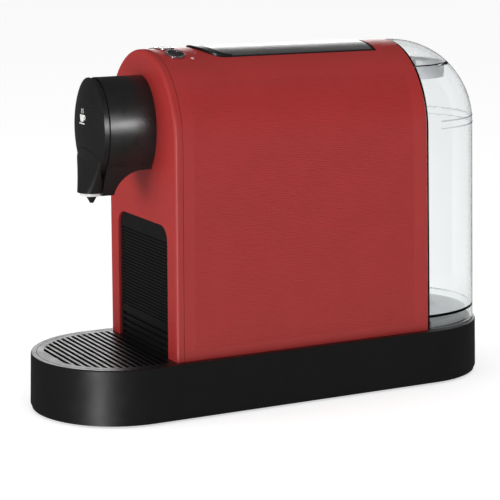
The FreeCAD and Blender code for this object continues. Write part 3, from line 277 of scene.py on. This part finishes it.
def materials():
    """A material for each slot of the record."""
    return {
        "red_cover": painted_red(),
        "black_plastic": moulded("fine black plastic", (0.0065,) * 3, 0.40, 0.5 * MM, 0.010 * MM),
        "black_gloss": moulded("satin black plastic", (0.0120,) * 3, 0.30, 0.7 * MM, 0.006 * MM),
        "grey_plastic": moulded("grey plastic", (0.40, 0.41, 0.42), 0.42, 0.5 * MM, 0.010 * MM),
        "clear_plastic": clear("clear plastic", (0.96, 0.975, 0.98), 0.01, 0.05, 0.10 * MM),
        "frosted_plastic": clear("frosted plastic", (0.80, 0.81, 0.82), 0.30, 0.42, 0.05 * MM),
        "brushed_lever": brushed("brushed lever", (0.74, 0.73, 0.73), "y", 0.34),
        "button_metal": brushed("button metal", (0.24, 0.22, 0.23), "x", 0.30, 0.003 * MM),
        "chrome_ring": brushed("polished chrome", (0.74, 0.73, 0.73), "x", 0.22, 0.002 * MM),
        "steel": brushed("turned steel", (0.52, 0.52, 0.53), "z", 0.30),
        "aluminium_cast": brushed("cast aluminium", (0.60, 0.61, 0.62), "z", 0.45),
        "rubber_black": moulded("black rubber", (0.012,) * 3, 0.65, 0.4 * MM, 0.020 * MM),
        "silicone_hose": moulded("silicone hose", (0.55, 0.55, 0.53), 0.40, 1.0 * MM, 0.010 * MM),
        "circuit_board": circuit_board(),
        "pale_nozzle": moulded("pale nozzle", (0.72, 0.72, 0.70), 0.25, 0.8 * MM, 0.006 * MM),
        "light_lens": moulded("light lens", (0.75, 0.62, 0.58), 0.20, 0.8 * MM, 0.004 * MM),
    }


# ---- nodes and pieces ----------------------------------------------------------------------------
def mesh_piece(name, mesh, body, slot):
    """An object of a finished bmesh that rides on a body and has a record slot's material."""
    data = bpy.data.meshes.new(name)
    bmesh.ops.recalc_face_normals(mesh, faces=mesh.faces)
    mesh.to_mesh(data)
    mesh.free()
    data.shade_smooth()
    data.set_sharp_from_angle(angle=PIECE_SHARP)
    piece = bpy.data.objects.new(name, data)
    bpy.context.scene.collection.objects.link(piece)
    data.materials.append(LOOKS[slot])
    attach(piece, body)


def closed_patch(mesh, top, bottom):
    """A thin closed body between two grids of points that face each other."""
    sheets = []
    for rows in (top, bottom):
        sheets.append([[mesh.verts.new(point) for point in row] for row in rows])
    for rows in sheets:
        for row, after in zip(rows, rows[1:]):
            for corners in zip(row, row[1:], after[1:], after):
                mesh.faces.new(corners)
    rims = []
    for rows in sheets:
        left = [row[0] for row in rows[-2:0:-1]]
        rims.append(rows[0] + [row[-1] for row in rows[1:]] + rows[-1][-2::-1] + left)
    upper, lower = rims
    for index, corner in enumerate(upper):
        after = (index + 1) % len(upper)
        mesh.faces.new((corner, upper[after], lower[after], lower[index]))


def surface_of(name):
    """Something to shoot rays at, made of a CAD node's faces."""
    data = NODES[name].data
    corners = [vertex.co.copy() for vertex in data.vertices]
    faces = [list(polygon.vertices) for polygon in data.polygons]
    return BVHTree.FromPolygons(corners, faces)


def dress_nodes():
    """Each CAD node in the material of its record slot."""
    for name, node in NODES.items():
        node.data.materials.clear()
        node.data.materials.append(LOOKS[SLOT_OF[name]])


def soften_nodes():
    """Smooth shading over the CAD nodes' curves, sharp at their edges and even on slivers."""
    for node in NODES.values():
        node.data.shade_smooth()
        node.data.set_sharp_from_angle(angle=NODE_SHARP)
        even = node.modifiers.new("even normals", "WEIGHTED_NORMAL")
        even.keep_sharp = True


# ---- ribs on the red cover -----------------------------------------------------------------------
def cover_outline():
    """Points and outward directions round one side of the red cover, a pitch apart, from low to high."""
    cover = surface_of("casing")
    section_y = sum(corner[1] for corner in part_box("casing")) / 2
    reach = CAD_HIGH[0] - CAD_LOW[0]
    outline = []
    z = RIB_LOW
    while z < RIB_AXIS_Z:
        outline.append(cover.ray_cast(Vector((reach, section_y, z)), Vector((-1, 0, 0)))[:2])
        z += RIB_PITCH
    turn = 0.0
    while outline[-1][0].z < RIB_HIGH:
        away = Vector((math.cos(turn), 0, math.sin(turn)))
        centre = Vector((0, section_y, RIB_AXIS_Z))
        hit, normal = cover.ray_cast(centre + away * reach, -away)[:2]
        if (hit - outline[-1][0]).length >= RIB_PITCH:
            outline.append((hit, normal))
        turn += RIB_SEARCH_TURN
    return outline


def rear_edge(cover_box):
    """The red cover's rear edge at its foot and at its crown, as (y, z)."""
    corners = [vertex.co for vertex in NODES["casing"].data.vertices]
    low = max(corner.y for corner in corners if corner.z < cover_box[0][2] + EDGE_BAND)
    high = max(corner.y for corner in corners if corner.z > cover_box[1][2] - EDGE_BAND)
    return (low, cover_box[0][2]), (high, cover_box[1][2])


def add_ribs():
    """Fine level ribs along both sides of the red cover."""
    profile = (
        (-RIB_WIDTH / 2, -RIB_SUNK),
        (-RIB_CREST / 2, RIB_PROUD),
        (RIB_CREST / 2, RIB_PROUD),
        (RIB_WIDTH / 2, -RIB_SUNK),
    )
    cover_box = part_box("casing")
    (foot_y, foot_z), (crown_y, crown_z) = rear_edge(cover_box)
    front = cover_box[0][1] + RIB_FRONT_GAP
    for side, name in ((1, "cover_ribs_right"), (-1, "cover_ribs_left")):
        mesh = bmesh.new()
        for place, outward in cover_outline():
            share = (place.z - foot_z) / (crown_z - foot_z)
            rear = foot_y + (crown_y - foot_y) * share - RIB_REAR_GAP
            along = Vector((outward.z, 0, -outward.x))
            section = [place + along * across + outward * out for across, out in profile]
            ends = []
            for y in (front, rear):
                ends.append([mesh.verts.new((side * point.x, y, point.z)) for point in section])
            for index in range(len(profile)):
                after = (index + 1) % len(profile)
                mesh.faces.new((ends[0][index], ends[0][after], ends[1][after], ends[1][index]))
            for end in ends:
                mesh.faces.new(end)
        mesh_piece(name, mesh, "machine", "red_cover")


# ---- pictogram -----------------------------------------------------------------------------------
def stroke(points, width):
    """Two rows of points on either side of a line drawn in x and z."""
    left, right = [], []
    for index, point in enumerate(points):
        before = points[max(index - 1, 0)]
        after = points[min(index + 1, len(points) - 1)]
        run = (after - before).normalized()
        side = Vector((-run.y, run.x)) * (width / 2)
        left.append(point + side)
        right.append(point - side)
    return [left, right]


def cup_drawing():
    """Grids of points in x and z, each a part of a plain cup with a saucer and steam."""
    shares = [step / DRAWING_STEPS for step in range(DRAWING_STEPS + 1)]
    bowl = []
    for depth in shares:
        half = CUP_HALF * math.sqrt(1 - (CUP_TAPER * depth) ** 2)
        bowl.append([Vector((half * (2 * across - 1), -depth * CUP_DEPTH)) for across in shares])
    handle = []
    for share in shares:
        angle = HANDLE_TURN * (1 - 2 * share)
        out = HANDLE_OUT * math.cos(angle)
        rise = HANDLE_UP * math.sin(angle)
        handle.append(Vector((HANDLE_X + out, HANDLE_Z + rise)))
    saucer = [Vector((SAUCER_HALF * (2 * across - 1), -CUP_DEPTH - SAUCER_DROP)) for across in shares]
    parts = [bowl, stroke(handle, CUP_STROKE), stroke(saucer, CUP_STROKE)]
    for x in (-STEAM_X, STEAM_X):
        steam = []
        for share in shares:
            swing = STEAM_SWING * math.sin(2 * math.pi * share)
            steam.append(Vector((x + swing, STEAM_LOW + STEAM_RISE * share)))
        parts.append(stroke(steam, STEAM_STROKE))
    return parts


def add_pictogram():
    """A printed white cup on the head's cap, laid on its curved face."""
    cap = surface_of("head_cap")
    ahead = CAD_LOW[1]
    mesh = bmesh.new()
    for rows in cup_drawing():
        top, bottom = [], []
        for row in rows:
            hits = []
            for point in row:
                start = Vector((point.x, ahead, CUP_RIM_Z + point.y))
                hits.append(cap.ray_cast(start, Vector((0, 1, 0)))[:2])
            top.append([hit + normal * MARK_PROUD for hit, normal in hits])
            bottom.append([hit - normal * MARK_SUNK for hit, normal in hits])
        closed_patch(mesh, top, bottom)
    mesh_piece("cup_pictogram", mesh, "machine", "pale_nozzle")


# ---- level lines on the tank ---------------------------------------------------------------------
def add_tank_lines():
    """Low moulded ridges round the tank's wall, from one front corner round the tail to the other."""
    tank = surface_of("water_tank")
    low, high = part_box("water_tank")
    centre_y = low[1] + LINE_CENTRE * (high[1] - low[1])
    reach = high[0] - low[0]
    mesh = bmesh.new()
    for z, width in TANK_LINES:
        rows = []
        for step in range(LINE_STEPS + 1):
            angle = LINE_START + LINE_SWEEP * step / LINE_STEPS
            away = Vector((math.cos(angle), math.sin(angle), 0))
            hit, normal = tank.ray_cast(Vector((0, centre_y, z)) + away * reach, -away)[:2]
            rows.append((hit, Vector((normal.x, normal.y, 0)).normalized()))
        lift = Vector((0, 0, width / 2))
        top = [[hit + out * LINE_PROUD - lift, hit + out * LINE_PROUD + lift] for hit, out in rows]
        bottom = [[hit - out * LINE_SUNK - lift, hit - out * LINE_SUNK + lift] for hit, out in rows]
        closed_patch(mesh, top, bottom)
    mesh_piece("tank_lines", mesh, "tank", "frosted_plastic")


# ---- stage ---------------------------------------------------------------------------------------
def add_floor():
    """A plain pale floor that neither shows in the machine's gloss nor blocks the lamps."""
    mesh = bmesh.new()
    bmesh.ops.create_grid(mesh, x_segments=1, y_segments=1, size=FLOOR_HALF)
    data = bpy.data.meshes.new("floor")
    mesh.to_mesh(data)
    mesh.free()
    floor = bpy.data.objects.new("floor", data)
    bpy.context.scene.collection.objects.link(floor)
    look = Look(
        "floor", (0.80, 0.80, 0.80), Roughness=0.9, Specular_Ior_Level=0.0, Emission_Strength=FLOOR_GLOW,
    )
    look.shader.inputs["Emission Color"].default_value = (1.0, 1.0, 1.0, 1.0)
    look.tint(look.noise(size=0.4, detail=1.0), amount=0.004)
    data.materials.append(look.material)
    floor.visible_glossy = False
    floor.visible_shadow = False


def add_light(name, place, size, power, aim=CAMERA_TARGET, diffuse=True, gloss=True, only=None):
    """A soft rectangular lamp turned to its aim, which may leave out diffuse light, gloss or most nodes."""
    data = bpy.data.lights.new(name, "AREA")
    data.shape = "RECTANGLE"
    data.size, data.size_y = size
    data.energy = power
    lamp = bpy.data.objects.new(name, data)
    lamp.location = place
    lamp.rotation_euler = (Vector(aim) - Vector(place)).to_track_quat("-Z", "Y").to_euler()
    lamp.visible_diffuse = diffuse
    lamp.visible_glossy = gloss
    lamp.visible_camera = False
    lamp.visible_transmission = False
    bpy.context.scene.collection.objects.link(lamp)
    if only:
        lit = bpy.data.collections.new(name + " lights")
        for node in only:
            lit.objects.link(NODES[node])
        lamp.light_linking.receiver_collection = lit


def add_sky():
    """A dim surround for light and gloss, white behind the machine and through its clear parts."""
    sky = bpy.data.worlds.new("studio")
    sky.use_nodes = True
    tree = sky.node_tree
    path = tree.nodes.new("ShaderNodeLightPath")
    seen = tree.nodes.new("ShaderNodeMath")
    seen.operation = "MAXIMUM"
    tree.links.new(path.outputs["Is Camera Ray"], seen.inputs[0])
    tree.links.new(path.outputs["Is Transmission Ray"], seen.inputs[1])
    level = tree.nodes.new("ShaderNodeMapRange")
    level.inputs["To Min"].default_value = SKY_LEVEL
    tree.links.new(seen.outputs["Value"], level.inputs["Value"])
    tree.links.new(level.outputs["Result"], tree.nodes["Background"].inputs["Color"])
    bpy.context.scene.world = sky


def add_lights():
    """The surround, a soft sun overhead, and lamps at the side, in front, and for the highlights."""
    add_sky()
    sun_data = bpy.data.lights.new("overhead", "SUN")
    sun_data.energy = SUN_POWER
    sun_data.angle = SUN_ANGLE
    sun = bpy.data.objects.new("overhead", sun_data)
    sun.visible_glossy = False
    bpy.context.scene.collection.objects.link(sun)
    add_light("side", place=(1.9, -0.2, 0.75), size=(1.6, 1.0), power=14.5, gloss=False)
    add_light("front", place=(-0.3, -1.9, 0.35), size=(1.6, 1.0), power=22.0, gloss=False)
    add_light("nose", place=(0.81, -1.02, -0.10), size=(0.20, 1.1), power=6.5, diffuse=False)
    add_light(
        "backdrop", place=(-1.5, 0.8, 0.56), size=(1.8, 0.7), power=14.0,
        diffuse=False, only=TOP_NODES,
    )
    add_light(
        "band", place=(1.21, 0.50, 0.30), size=(1.1, 0.16), power=14.0, aim=HEAD_CENTRE,
        diffuse=False, only=HEAD_NODES,
    )


# ---- making --------------------------------------------------------------------------------------
add_camera()
LOOKS = materials()
dress_nodes()
soften_nodes()
add_ribs()
add_pictogram()
add_tank_lines()
add_floor()
add_lights()
bpy.context.scene.view_settings.view_transform = "Standard"
